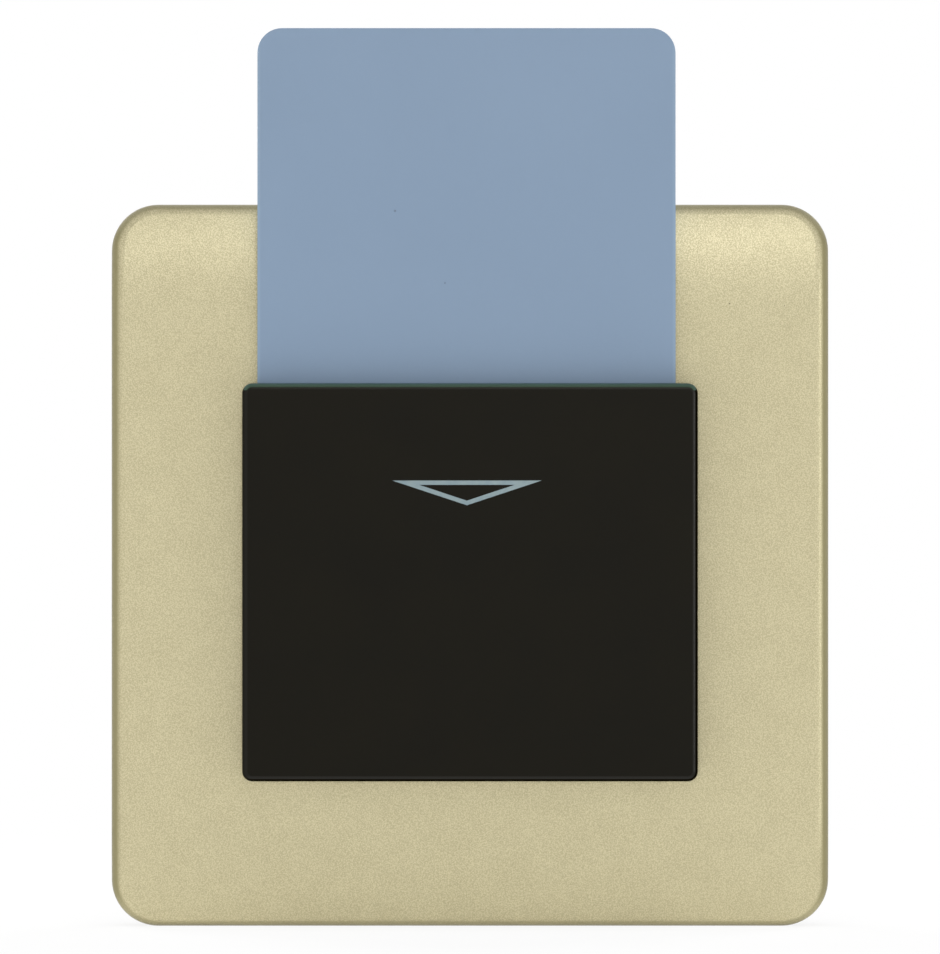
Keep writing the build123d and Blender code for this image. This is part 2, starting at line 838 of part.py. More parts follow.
with BuildPart() as rear_housing:
    with BuildSketch(wall_plane(housing_seat)):
        RectangleRounded(housing_width, housing_height, housing_corner_radius)
    extrude(amount=-housing_seat - housing_depth)
    fillet(rear_housing.faces().sort_by(Axis.Y)[-1].edges(), radius=housing_wall / 2)
    with BuildSketch(wall_plane(housing_seat)):
        RectangleRounded(
            housing_inner_width, housing_inner_height, housing_corner_radius - housing_wall
        )
    extrude(amount=-housing_seat - housing_floor_deep, mode=Mode.SUBTRACT)
    with BuildSketch(wall_plane(housing_seat)):
        with Locations(*housing_screw_places):
            Circle(corner_boss_radius)
    extrude(amount=-corner_boss_length)
    with BuildSketch(wall_plane(housing_seat)):
        with Locations(*housing_screw_places):
            Circle(housing_screw_radius)
    extrude(amount=-housing_screw_length, mode=Mode.SUBTRACT)
    with BuildSketch(wall_plane(-board_back_deep)):
        with Locations(*board_column_places):
            Circle(board_column_radius)
    extrude(amount=board_back_deep - housing_floor_deep)
    with BuildSketch(wall_plane(-board_back_deep)):
        with Locations(*board_column_places):
            Circle(board_screw_radius)
    extrude(amount=-board_screw_length, mode=Mode.SUBTRACT)
    with BuildSketch(wall_plane(housing_fit - board_back_deep)):
        with Locations((0, block_top + housing_fit)):
            Rectangle(
                block_width + 2 * housing_fit, block_height + overrun, align=(Align.CENTER, Align.MAX)
            )
    extrude(amount=-housing_depth, mode=Mode.SUBTRACT)
save("rear_housing", rear_housing)

housing_screws = slotted_screws(
    housing_screw_places,
    frame_thickness,
    housing_screw_radius,
    housing_screw_length,
    housing_screw_head_radius,
    housing_screw_head_height,
    1,
)
save("housing_screws", housing_screws)

# Places of every lead that passes through the board
switch_pin_places = [(step * switch_pin_pitch, button_z) for step in (-1, 0, 1)]
relay_pin_places = [
    (x * relay_pin_spread_x / 2, relay_z + z * relay_pin_spread_z / 2) for x in (-1, 1) for z in (-1, 1)
]
film_lead_places = lead_pair(-film_shift, film_z, film_lead_pitch)
can_lead_places = lead_pair(can_x, can_z, can_lead_pitch)
varistor_lead_places = lead_pair(varistor_shift, chip_z, varistor_lead_pitch)
lamp_lead_places = lead_pair(0, lamp_rise, lamp_lead_pitch)
diode_xs = [-part_gap - diode_pitch * (step + 1 / 2) for step in range(diode_count)]
diode_span = diode_length / 2 + diode_lead_reach
diode_lead_places = [(x, diode_z + end * diode_span) for x in diode_xs for end in (-1, 1)]
resistor_span = resistor_length / 2 + resistor_lead_reach
resistor_lead_places = lead_pair(resistor_shift, resistor_z, 2 * resistor_span)
chip_leg_places = [
    ((step - (chip_row_count - 1) / 2) * chip_leg_pitch - chip_shift, chip_z + row * chip_leg_spread / 2)
    for step in range(chip_row_count)
    for row in (-1, 1)
]
transistor_leg_places = [(transistor_shift + step * transistor_leg_pitch, chip_z) for step in (-1, 0, 1)]

# Circuit board, with notches round the housing's corner bosses
board_width = housing_inner_width - 2 * board_gap
board_height = housing_inner_height - 2 * board_gap
notch = corner_boss_radius + board_gap

with BuildPart() as circuit_board:
    with BuildSketch(wall_plane(-board_front_deep)):
        Rectangle(board_width, board_height)
        with Locations(*housing_screw_places):
            Rectangle(2 * notch, 2 * notch, mode=Mode.SUBTRACT)
        with Locations(*board_column_places):
            Circle(board_screw_radius + push_fit, mode=Mode.SUBTRACT)
        with Locations(*switch_pin_places):
            Circle(switch_pin_radius + lead_fit, mode=Mode.SUBTRACT)
        with Locations(*relay_pin_places):
            Circle(relay_pin_radius + lead_fit, mode=Mode.SUBTRACT)
        with Locations(*film_lead_places):
            Circle(film_lead_radius + lead_fit, mode=Mode.SUBTRACT)
        with Locations(*can_lead_places):
            Circle(can_lead_radius + lead_fit, mode=Mode.SUBTRACT)
        with Locations(*varistor_lead_places):
            Circle(varistor_lead_radius + lead_fit, mode=Mode.SUBTRACT)
        with Locations(*lamp_lead_places):
            Circle(lamp_lead_radius + lead_fit, mode=Mode.SUBTRACT)
        with Locations(*diode_lead_places):
            Circle(diode_lead_radius + lead_fit, mode=Mode.SUBTRACT)
        with Locations(*resistor_lead_places):
            Circle(resistor_lead_radius + lead_fit, mode=Mode.SUBTRACT)
        with Locations(*chip_leg_places):
            Circle(chip_leg_width / 2 + lead_fit, mode=Mode.SUBTRACT)
        with Locations(*transistor_leg_places):
            Circle(transistor_leg_radius + lead_fit, mode=Mode.SUBTRACT)
        with Locations(*pole_places):
            Circle(pillar_tail_radius + lead_fit, mode=Mode.SUBTRACT)
    extrude(amount=-board_thickness)
save("circuit_board", circuit_board)

board_screws = slotted_screws(
    board_column_places,
    -board_front_deep,
    board_screw_radius,
    board_thickness + board_screw_length,
    board_screw_head_radius,
    board_screw_head_height,
    1,
)
save("board_screws", board_screws)

# Microswitch: its case stands on the board's front and its button faces the lever's nose
with BuildPart() as microswitch_case:
    with BuildSketch(wall_plane(-board_front_deep)):
        with Locations((0, button_z)):
            Rectangle(switch_length, switch_height)
    extrude(amount=switch_depth)
    with BuildSketch(wall_plane(switch_front_out)):
        with Locations((0, button_z)):
            Circle(button_radius + running_fit)
    extrude(amount=-button_inner_length - button_well_spare, mode=Mode.SUBTRACT)
    with BuildSketch(Plane.XY.offset(button_z)):
        hole_y = switch_hole_deep_share * switch_depth - switch_front_out
        with Locations(*lead_pair(0, hole_y, switch_hole_spread)):
            Circle(switch_hole_radius)
    extrude(amount=switch_height, both=True, mode=Mode.SUBTRACT)
save("microswitch_case", microswitch_case)

with BuildPart() as microswitch_button:
    with BuildSketch(wall_plane(switch_front_out - button_inner_length)):
        with Locations((0, button_z)):
            Circle(button_radius)
    extrude(amount=button_inner_length + button_pressed_height)
    button_tip = microswitch_button.faces().sort_by(Axis.Y)[0].edges()
    fillet(button_tip, radius=button_pressed_height * 4 / 5)
save("microswitch_button", microswitch_button)

with BuildPart() as microswitch_pins:
    with BuildSketch(wall_plane(-board_front_deep)):
        with Locations(*switch_pin_places):
            Circle(switch_pin_radius)
    extrude(amount=-board_thickness - lead_tail)
save("microswitch_pins", microswitch_pins)

# Locator lamp on the board, and the light pipe that takes its light to the slot
with BuildPart() as locator_lamp:
    with BuildSketch(wall_plane(-board_front_deep)):
        with Locations((0, lamp_rise)):
            Circle(lamp_rim_radius)
    extrude(amount=lamp_rim_height)
    with BuildSketch(wall_plane(-board_front_deep)):
        with Locations((0, lamp_rise)):
            Circle(lamp_radius)
    extrude(amount=lamp_height)
    lamp_dome = locator_lamp.faces().sort_by(Axis.Y)[0].edges()
    fillet(lamp_dome, radius=lamp_radius * 9 / 10)
save("locator_lamp", locator_lamp)

with BuildPart() as lamp_leads:
    with BuildSketch(wall_plane(-board_front_deep)):
        with Locations(*lamp_lead_places):
            Circle(lamp_lead_radius)
    extrude(amount=-board_thickness - lead_tail)
save("lamp_leads", lamp_leads)

with BuildPart() as light_pipe:
    pipe_front_out = base_front_out - pipe_sink
    pipe_back_out = lamp_height + lamp_gap - board_front_deep
    with BuildSketch(wall_plane(pipe_back_out)):
        with Locations((0, lamp_rise)):
            Circle(pipe_radius)
    extrude(amount=pipe_front_out - pipe_back_out)
    with BuildSketch(wall_plane(plate_depth)):
        with Locations((0, lamp_rise)):
            Circle(pipe_collar_radius)
    extrude(amount=-pipe_collar_thickness)
save("light_pipe", light_pipe)

# Relay
with BuildPart() as relay:
    with BuildSketch(wall_plane(-board_back_deep)):
        with Locations((0, relay_z)):
            Rectangle(relay_length, relay_width)
    extrude(amount=-relay_depth)
    relay_rear = relay.faces().sort_by(Axis.Y)[-1].edges()
    fillet(relay.edges().filter_by(Axis.Y) + relay_rear, radius=relay_edge_radius)
save("relay", relay)
relay_pins = round_leads(relay_pin_places, relay_pin_radius, board_back_deep)
save("relay_pins", relay_pins)

# Film capacitor
with BuildPart() as film_capacitor:
    with BuildSketch(wall_plane(-board_back_deep)):
        with Locations((-film_shift, film_z)):
            Rectangle(film_length, film_width)
    extrude(amount=-film_depth)
    film_rear = film_capacitor.faces().sort_by(Axis.Y)[-1].edges()
    fillet(film_capacitor.edges().filter_by(Axis.Y) + film_rear, radius=film_edge_radius)
save("film_capacitor", film_capacitor)
film_capacitor_leads = round_leads(film_lead_places, film_lead_radius, board_back_deep)
save("film_capacitor_leads", film_capacitor_leads)

# Smoothing capacitor
with BuildPart() as smoothing_capacitor:
    with BuildSketch(wall_plane(-board_back_deep)):
        with Locations((can_x, can_z)):
            Circle(can_radius)
    extrude(amount=-can_length)
    fillet(smoothing_capacitor.faces().sort_by(Axis.Y)[-1].edges(), radius=can_edge_radius)
save("smoothing_capacitor", smoothing_capacitor)
smoothing_capacitor_leads = round_leads(can_lead_places, can_lead_radius, board_back_deep)
save("smoothing_capacitor_leads", smoothing_capacitor_leads)

# Varistor: a coated disc that stands on its two leads
varistor_foot_deep = board_back_deep + varistor_stand
with BuildPart() as varistor:
    with BuildSketch(Plane.XY.offset(chip_z)):
        with Locations((varistor_shift, varistor_foot_deep + varistor_radius)):
            Circle(varistor_radius)
    extrude(amount=varistor_thickness / 2, both=True)
    fillet(varistor.edges().filter_by(GeomType.CIRCLE), radius=varistor_thickness / 3)
save("varistor", varistor)

with BuildPart() as varistor_leads:
    add(round_leads(varistor_lead_places, varistor_lead_radius, varistor_foot_deep + varistor_radius).part)
    add(varistor.part, mode=Mode.SUBTRACT)
save("varistor_leads", varistor_leads)

# Rectifier diodes, which lie along Z
diode_deep = board_back_deep + axial_stand + diode_radius


def lying_lead(ends, middle_deep, radius):
    """A bent lead along Z and then into the board, from each end of a lying component."""
    with BuildPart() as leads:
        for x, inner_z, outer_z in ends:
            with BuildSketch(Plane.XY.offset(inner_z)):
                with Locations((x, middle_deep)):
                    Circle(radius)
            extrude(amount=outer_z - inner_z)
            with BuildSketch(wall_plane(-middle_deep)):
                with Locations((x, outer_z)):
                    Circle(radius)
            extrude(amount=middle_deep - board_front_deep + lead_tail)
            with Locations((x, middle_deep, outer_z)):
                Sphere(radius)
    return leads


with BuildPart() as rectifier_diodes:
    with BuildSketch(Plane.XY.offset(diode_z)):
        with Locations(*[(x, diode_deep) for x in diode_xs]):
            Circle(diode_radius)
    extrude(amount=diode_length / 2, both=True)
save("rectifier_diodes", rectifier_diodes)

diode_ends = [
    (x, diode_z + end * diode_length / 2, diode_z + end * diode_span) for x in diode_xs for end in (-1, 1)
]
diode_leads = lying_lead(diode_ends, diode_deep, diode_lead_radius)
save("diode_leads", diode_leads)

# Dropper resistor, which lies along X
resistor_deep = board_back_deep + axial_stand + resistor_radius
with BuildPart() as dropper_resistor:
    with BuildSketch(Plane.YZ.offset(resistor_shift)):
        with Locations((resistor_deep, resistor_z)):
            Circle(resistor_radius)
    extrude(amount=resistor_length / 2, both=True)
    fillet(dropper_resistor.edges().filter_by(GeomType.CIRCLE), radius=resistor_radius / 3)
save("dropper_resistor", dropper_resistor)

with BuildPart() as resistor_leads:
    for end in (-1, 1):
        with BuildSketch(Plane.YZ.offset(resistor_shift + end * resistor_length / 2)):
            with Locations((resistor_deep, resistor_z)):
                Circle(resistor_lead_radius)
        extrude(amount=end * resistor_lead_reach)
        with Locations((resistor_shift + end * resistor_span, resistor_deep, resistor_z)):
            Sphere(resistor_lead_radius)
    with BuildSketch(wall_plane(-resistor_deep)):
        with Locations(*resistor_lead_places):
            Circle(resistor_lead_radius)
    extrude(amount=resistor_deep - board_front_deep + lead_tail)
save("resistor_leads", resistor_leads)

# Timer chip
chip_foot_deep = board_back_deep + chip_stand
with BuildPart() as timer_chip:
    with BuildSketch(wall_plane(-chip_foot_deep)):
        with Locations((-chip_shift, chip_z)):
            Rectangle(chip_length, chip_width)
    extrude(amount=-chip_thickness)
save("timer_chip", timer_chip)

with BuildPart() as timer_chip_legs:
    shoulder_deep = chip_foot_deep + chip_thickness / 2
    with BuildSketch(wall_plane(-shoulder_deep)):
        with Locations(*chip_leg_places):
            Rectangle(chip_leg_width, chip_leg_thickness)
    extrude(amount=shoulder_deep - board_front_deep + lead_tail)
    bridge = (chip_leg_spread - chip_width) / 2
    with BuildSketch(wall_plane(-shoulder_deep)):
        for row in (-1, 1):
            row_places = [place for place in chip_leg_places if (place[1] - chip_z) * row > 0]
            with Locations(*[(x, z - row * bridge / 2) for x, z in row_places]):
                Rectangle(chip_leg_width, bridge)
    extrude(amount=chip_leg_thickness)
save("timer_chip_legs", timer_chip_legs)

# Driver transistor
transistor_foot_deep = board_back_deep + transistor_stand
with BuildPart() as driver_transistor:
    with BuildSketch(wall_plane(-transistor_foot_deep)):
        with Locations((transistor_shift, chip_z)):
            Circle(transistor_radius)
        with Locations((transistor_shift, chip_z + transistor_flat_share * transistor_radius)):
            Rectangle(
                2 * transistor_radius,
                transistor_radius,
                align=(Align.CENTER, Align.MIN),
                mode=Mode.SUBTRACT,
            )
    extrude(amount=-transistor_length)
save("driver_transistor", driver_transistor)
transistor_legs = round_leads(transistor_leg_places, transistor_leg_radius, transistor_foot_deep)
save("transistor_legs", transistor_legs)

# Terminal block: wires enter from below through U-shaped notches, and the clamp screws face the rear
block_back_deep = board_back_deep + block_depth
with BuildPart() as terminal_block:
    with BuildSketch(wall_plane(-board_back_deep)):
        with Locations((0, block_top)):
            Rectangle(block_width, block_height, align=(Align.CENTER, Align.MAX))
    extrude(amount=-block_depth)
    with BuildSketch(wall_plane(-board_back_deep)):
        with Locations(*pole_places):
            Rectangle(pillar_width + 2 * pillar_fit, pillar_height + 2 * pillar_fit)
    extrude(amount=-pillar_stand - pillar_length - pillar_fit, mode=Mode.SUBTRACT)
    with BuildSketch(wall_plane(-pillar_back_deep)):
        with Locations(*pole_places):
            Circle(clamp_screw_head_radius + clamp_screw_access)
    extrude(amount=-block_back_wall - overrun, mode=Mode.SUBTRACT)
    entry_length = wire_bore_deep - board_back_deep
    with BuildSketch(Plane.XY.offset(block_bottom)):
        with Locations(*[(x, wire_bore_deep) for x, z in pole_places]):
            Circle(wire_entry_radius)
            Rectangle(2 * wire_entry_radius, entry_length, align=(Align.CENTER, Align.MAX))
    extrude(amount=block_floor, mode=Mode.SUBTRACT)
save("terminal_block", terminal_block)

with BuildPart() as terminal_pillars:
    with BuildSketch(wall_plane(-pillar_front_deep)):
        with Locations(*pole_places):
            Rectangle(pillar_width, pillar_height)
    extrude(amount=-pillar_length)
    with BuildSketch(wall_plane(-pillar_front_deep)):
        with Locations(*pole_places):
            Circle(pillar_tail_radius)
    extrude(amount=pillar_front_deep - board_front_deep + lead_tail)
    with BuildSketch(Plane.XY.offset(block_bottom)):
        with Locations(*[(x, wire_bore_deep) for x, z in pole_places]):
            Circle(wire_bore_radius)
    extrude(amount=block_height, mode=Mode.SUBTRACT)
    with BuildSketch(wall_plane(-pillar_back_deep)):
        with Locations(*pole_places):
            Circle(clamp_screw_radius)
    extrude(amount=pillar_back_deep - wire_bore_deep, mode=Mode.SUBTRACT)
save("terminal_pillars", terminal_pillars)

screw_tip_deep = wire_bore_deep + wire_bore_radius + clamp_screw_tip_gap
screw_seat_deep = pillar_back_deep + clamp_screw_head_gap
terminal_screws = slotted_screws(
    pole_places,
    -screw_seat_deep,
    clamp_screw_radius,
    screw_seat_deep - screw_tip_deep,
    clamp_screw_head_radius,
    clamp_screw_head_height,
    -1,
)
save("terminal_screws", terminal_screws)

print("lever pivot", round(-lever_pivot_out, 4), round(lever_pivot_z, 4))
print("button at z", round(button_z, 4), "wire bore at y", round(wire_bore_deep, 4))
print("cover", round(cover_width, 3), "by", cover_height, "front face at y", round(-cover_front_out, 3))
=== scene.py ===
import math

import bmesh
import bpy
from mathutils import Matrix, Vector


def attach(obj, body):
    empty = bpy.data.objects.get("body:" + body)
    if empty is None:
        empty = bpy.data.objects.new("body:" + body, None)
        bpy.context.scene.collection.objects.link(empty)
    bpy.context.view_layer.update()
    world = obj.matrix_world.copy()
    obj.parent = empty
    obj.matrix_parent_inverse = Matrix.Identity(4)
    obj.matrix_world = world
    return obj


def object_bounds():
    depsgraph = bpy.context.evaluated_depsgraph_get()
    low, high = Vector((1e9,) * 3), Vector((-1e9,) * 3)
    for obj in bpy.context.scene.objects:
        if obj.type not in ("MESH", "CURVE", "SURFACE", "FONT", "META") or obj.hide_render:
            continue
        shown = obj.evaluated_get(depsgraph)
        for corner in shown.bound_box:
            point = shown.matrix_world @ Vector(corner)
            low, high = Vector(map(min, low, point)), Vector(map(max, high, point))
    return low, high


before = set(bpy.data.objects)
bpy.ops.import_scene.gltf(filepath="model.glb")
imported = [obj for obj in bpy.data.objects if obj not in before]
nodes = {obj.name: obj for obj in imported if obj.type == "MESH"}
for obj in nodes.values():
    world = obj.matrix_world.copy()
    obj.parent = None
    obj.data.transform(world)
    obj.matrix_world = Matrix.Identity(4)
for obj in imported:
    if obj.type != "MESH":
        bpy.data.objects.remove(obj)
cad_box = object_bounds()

# Front plate. It is moulded in hard plastic, rolled back along its top and bottom edge, and sprayed
# with champagne metallic paint, which leaves the plastic bare inside but for some overspray. Four
# tongues inside clip it on the mounting frame. The sizes in all the finishes are in millimetres.
plate_front = -8.6
plate_roll_start = 34.5
plate_roll_radius = 40
plate_inner_half_width = 44.5
plate_inner_half_height = 44.85
plate_inner_front = -6.62
plate_dust = ((33.6, 33.9, 0.13), (40.7, 33.6, 0.09), (27.95, 33.8, 0.09))


class Wire:
    """One output of a shader node. Sums on it add Math nodes, and node() adds any other node."""

    def __init__(self, tree, socket=None):
        self.tree = tree
        self.socket = socket

    def fill(self, sockets, values):
        """Gives sockets their values, and joins those whose value is another wire."""
        for name, value in values.items():
            if isinstance(value, Wire):
                self.tree.links.new(value.socket, sockets[name])
            else:
                sockets[name].default_value = value

    def node(self, kind, settings, values, output=0):
        """A new node: its settings come first, and then its sockets."""
        made = self.tree.nodes.new("ShaderNode" + kind)
        for name, value in settings.items():
            setattr(made, name, value)
        self.fill(made.inputs, values)
        return Wire(self.tree, made.outputs[output])

    def maths(self, operation, first, second=0.0):
        return self.node("Math", {"operation": operation}, {0: first, 1: second})

    def __add__(self, other):
        return self.maths("ADD", self, other)

    def __sub__(self, other):
        return self.maths("SUBTRACT", self, other)

    def __rsub__(self, other):
        return self.maths("SUBTRACT", other, self)

    def __mul__(self, other):
        return self.maths("MULTIPLY", self, other)

    def __lt__(self, other):
        return self.maths("LESS_THAN", self, other)

    def __gt__(self, other):
        return self.maths("GREATER_THAN", self, other)

    def __abs__(self):
        return self.maths("ABSOLUTE", self)

    __radd__ = __add__
    __rmul__ = __mul__


def new_finish(name):
    """A new material, and a wire for the place on the piece, in millimetres."""
    material = bpy.data.materials.new(name)
    material.use_nodes = True
    metres = Wire(material.node_tree).node("TexCoord", {}, {}, "Object")
    return material, metres.node("VectorMath", {"operation": "SCALE"}, {0: metres, "Scale": 1000})


def along(place, axis):
    """The place's distance along one axis, in millimetres."""
    return place.node("SeparateXYZ", {}, {0: place}, axis)


def distance(place, point):
    """The place's distance from a point, in millimetres."""
    off = place.node("VectorMath", {"operation": "SUBTRACT"}, {0: place, 1: point})
    return place.node("VectorMath", {"operation": "LENGTH"}, {0: off}, "Value")


def screen(red, green, blue):
    """The colour that shows as these three screen levels, from 0 to 255."""
    return (*(((level / 255 + 0.055) / 1.055) ** 2.4 for level in (red, green, blue)), 1.0)


def patches(place, size, detail=1.0):
    """Soft random patches, about this many millimetres across, from 0 to 1."""
    askew = {"Vector": place, "Rotation": (0.5, 0.3, 0.7)}
    turned = place.node("VectorRotate", {"rotation_type": "EULER_XYZ"}, askew)
    return place.node("TexNoise", {}, {"Vector": turned, "Scale": 1 / size, "Detail": detail})


def ease(wire, low, high, first=0.0, last=1.0):
    """Runs smoothly from first to last while the wire runs from low to high."""
    span = {"Value": wire, "From Min": low, "From Max": high, "To Min": first, "To Max": last}
    return wire.node("MapRange", {"interpolation_type": "SMOOTHSTEP"}, span)


def between(share, one, other):
    """The colour at this share of the way from one to the other."""
    return share.node("Mix", {"data_type": "RGBA"}, {0: share, 6: one, 7: other}, 2)


def speck(place, middle, radius):
    """A soft round spot that is full in its middle and gone at its edge."""
    return ease(distance(place, middle), radius, 0.3 * radius)


def relief(height, depth):
    """The normals of a relief that is this many millimetres deep."""
    return height.node("Bump", {}, {"Height": height, "Distance": depth / 1000}, "Normal")


def dress(material, values, *names):
    """Gives the material's shader its values, and the CAD nodes the material."""
    shader = material.node_tree.nodes["Principled BSDF"]
    Wire(material.node_tree).fill(shader.inputs, values)
    for name in names:
        for slot in nodes[name].material_slots:
            slot.material = material


champagne, place = new_finish("champagne_satin")
x, y, z = along(place, "X"), along(place, "Y"), along(place, "Z")
flake = ease(patches(place, 0.15), 0.34, 0.66)
mottle = ease(patches(place, 3.5), 0.3, 0.7)
# Painted glint: the flake stands out more on the roll along the top, where the sheen falls on it
glint_contrast = ease(z, 31.0, 40.0, 0.74, 0.91)
flecks_and_glint = 0.5 + glint_contrast * (flake * 0.9 + mottle * 0.1 - 0.5)
paint = between(flecks_and_glint, screen(179, 170, 134), screen(215, 206, 169))
# Painted shade: the paint is darker over the rounded rim, where the surface sinks below the flat or
# rolled face and turns from the light
rolled = z.maths("MAXIMUM", abs(z) - plate_roll_start)
sunk = y - plate_front - rolled * rolled * (1 / (2 * plate_roll_radius))
end = ease(abs(z), 42.0, 45.0)
rim_shade = ease(sunk, 0.02 + 0.06 * end, 0.45 - 0.17 * end) * (1 - 0.45 * end) * ease(sunk, 2.6, 1.6)
paint = between(0.9 * rim_shade, paint, screen(146, 138, 98))
for dust_x, dust_z, dust_radius in plate_dust:
    dust = speck(place, (dust_x, plate_front, dust_z), dust_radius)
    paint = between(dust, paint, screen(104, 98, 78))
inside = (abs(x) < plate_inner_half_width) * (abs(z) < plate_inner_half_height)
inside = inside * (y > plate_inner_front)
overspray = ease(y + 1.5 * patches(place, 2.5), -0.5, 2.0)
bare_plastic = between(patches(place, 6.0), screen(196, 194, 187), screen(206, 204, 197))
dress(
    champagne,
    {
        "Base Color": between(inside * (1 - overspray), paint, bare_plastic),
        "Metallic": 0.2 - 0.2 * inside,
        "Roughness": ease(flake, 0.0, 1.0, 0.37, 0.33),
        "Specular IOR Level": 0.3,
        "Normal": relief(flake, 0.006),
    },
    "front_plate",
)

# Pocket cover and pocket base. Both are moulded in black plastic from a spark-eroded tool, which
# leaves a fine matt grain. Cards wear faint upright streaks into the walls of the slot, and hands
# polish the cover's front edges. The lighter band along the lip at its top is a painted highlight.
cover_front = -15.46
cover_half_width = 29.3
slot_half_width = 27.58
slot_rear = -9.85
slot_front = -13.47
lip_foot = 22.6


def stretch(place, factors):
    """The place with its x, y and z multiplied by these factors, which draws out what follows it."""
    return place.node("VectorMath", {"operation": "MULTIPLY"}, {0: place, 1: factors})


black, place = new_finish("black_plastic")
x, y, z = along(place, "X"), along(place, "Y"), along(place, "Z")
grain = patches(place, 0.16, 2.0)
streaks = ease(patches(stretch(place, (1, 1, 0.04)), 0.5, 2.0), 0.55, 0.7)
in_slot = (abs(x) < slot_half_width) * (y < slot_rear) * (y > slot_front)
# The rounded front edge gleams along a line close to the face, most of all at the bottom, and is
# dull beside that line, except on the left
depth = y - cover_front
edge_line = ease(depth, 0.0, 0.02) * ease(depth, 0.22, 0.12) * (z < lip_foot)
edge_gloss = edge_line * ease(z, -27.2, -26.8, 0.35, 0.15)
edge_side = ease(depth, 0.12, 0.22) * ease(depth, 0.86, 0.66) * ease(x, -29.2, -27.6)
# Painted highlight: the lip along the top is lighter, and lighter still towards its top, where it faces
# up to the light
lip_highlight_width = ease(abs(x), cover_half_width - 0.1, cover_half_width - 0.4)
lip_highlight = ease(depth, 0.02, 0.13) * (y < slot_front) * (z > lip_foot) * lip_highlight_width
lip_highlight_colour = between(ease(depth, 0.1, 0.56), screen(72, 93, 78), screen(100, 130, 124))
black_base = between(patches(place, 9.0), screen(11, 9, 0), screen(17, 14, 2))
black_base = between(lip_highlight, black_base, lip_highlight_colour)
dress(
    black,
    {
        "Base Color": between(streaks * in_slot * 0.5, black_base, screen(70, 69, 65)),
        "Roughness": ease(grain, 0.2, 0.8, 0.42, 0.56),
        "Specular IOR Level": 0.0,
        "Coat Weight": 0.25 + edge_gloss - 0.25 * edge_side * (1 - lip_highlight),
        "Coat Roughness": 0.35,
        "Normal": relief(grain, 0.012),
    },
    "pocket_cover",
    "pocket_base",
)

# Arrow mark. It is a second shot of pale plastic in a groove of the cover, flush with its face, and
# shows which way the card goes in.
pale, place = new_finish("pale_inlay")
cloud = ease(patches(place, 1.2, 2.0), 0.3, 0.7)
dress(
    pale,
    {
        "Base Color": between(cloud, screen(127, 146, 153), screen(138, 155, 158)),
        "Roughness": ease(cloud, 0.2, 0.8, 0.45, 0.55),
        "Normal": relief(patches(place, 0.14), 0.004),
    },
    "arrow_inlay",
)

# Key card. It is laminated from a white core between two tinted sheets, and punched out, so the core
# shows along its edge. Its faces are satin, with two specks of dust sealed under the front one.
card_front = -11.06
card_core_front = -10.96
card_core_rear = -10.4
card_middle = -0.45
card_dust = ((-9.68, 45.8, 0.22), (-3.23, 36.5, 0.16))
card, place = new_finish("card_plastic")
x, y = along(place, "X"), along(place, "Y")
core = (y > card_core_front) * (y < card_core_rear)
face = between(patches(place, 24.0), screen(126, 147, 171), screen(131, 152, 176))
for dust_x, dust_z, dust_radius in card_dust:
    dust = 0.6 * speck(place, (dust_x, card_front, dust_z), dust_radius)
    face = between(dust, face, screen(70, 78, 92))
# Painted highlight: the face is a little lighter along its left and right edges, where the punched edge
# catches the light
face = between(0.2 * ease(abs(x - card_middle), 26.5, 26.9), face, screen(165, 190, 205))
dress(
    card,
    {
        "Base Color": between(core, face, screen(196, 203, 210)),
        "Roughness": ease(patches(place, 0.5, 2.0), 0.2, 0.8, 0.38, 0.46),
        "Normal": relief(patches(place, 0.35, 2.0), 0.003),
    },
    "key_card",
)

# Card lever, its pin, clip and spring. The lever is natural acetal, the pin is zinc plated, and the
# clip and the spring are drawn spring steel.
acetal, place = new_finish("lever_plastic")
cloud = patches(place, 1.8, 2.0)
dress(
    acetal,
    {
        "Base Color": between(cloud, screen(222, 219, 211), screen(232, 230, 223)),
        "Roughness": ease(cloud, 0.2, 0.8, 0.3, 0.4),
        "Subsurface Weight": 0.1,
        "Subsurface Radius": (0.002, 0.002, 0.0015),
        "Normal": relief(patches(place, 0.25), 0.004),
    },
    "card_lever",
)


def plated_metal(name, dull, bright, smooth, rough, *names):
    """A bright metal with faint drawing lines and a slightly uneven plating."""
    metal, place = new_finish(name)
    drawn = patches(stretch(place, (0.12, 1, 1)), 0.12, 2.0)
    plating = ease(patches(place, 0.9, 2.0), 0.3, 0.7)
    values = {
        "Base Color": between(plating, dull, bright),
        "Metallic": 1.0,
        "Roughness": ease(plating * 0.6 + drawn * 0.4, 0.2, 0.8, smooth, rough),
        "Normal": relief(drawn, 0.004),
    }
    dress(metal, values, *names)


plated_metal(
    "spring_steel", screen(186, 187, 190), screen(204, 205, 207), 0.22, 0.34, "lever_spring", "pin_clip"
)
plated_metal(
    "zinc_steel",
    screen(192, 194, 196),
    screen(212, 213, 214),
    0.24,
    0.38,
    "lever_pin",
    "cover_screws",
    "housing_screws",
    "board_screws",
    "terminal_screws",
)

# Mounting frame and rear housing. Both are moulded in flame-retardant plastic with a fine texture,
# and the housing's rear wall has the round witness marks of the tool's ejector pins.
housing_rear = 28
ejector_places = ((-19, -14), (19, -14), (-19, 24), (19, 24), (0, 6))


def moulded_shell(name, dark, light, *names):
    """Pale moulded plastic with flow marks, a fine grain, and ejector marks on its rear wall."""
    shell, place = new_finish(name)
    grain = patches(place, 0.22, 2.0)
    flow = ease(patches(place, 11.0, 2.0), 0.3, 0.7)
    height = grain
    for ejector_x, ejector_z in ejector_places:
        far = distance(place, (ejector_x, housing_rear, ejector_z))
        height = height - 6 * (ease(far, 2.0, 1.8) - 0.6 * ease(far, 1.6, 1.4))
    values = {
        "Base Color": between(flow, dark, light),
        "Roughness": ease(grain, 0.2, 0.8, 0.48, 0.6),
        "Normal": relief(height, 0.012),
    }
    dress(shell, values, *names)


moulded_shell("frame_plastic", screen(192, 192, 189), screen(197, 197, 194), "mounting_frame")
moulded_shell("housing_plastic", screen(203, 203, 199), screen(208, 207, 203), "rear_housing")

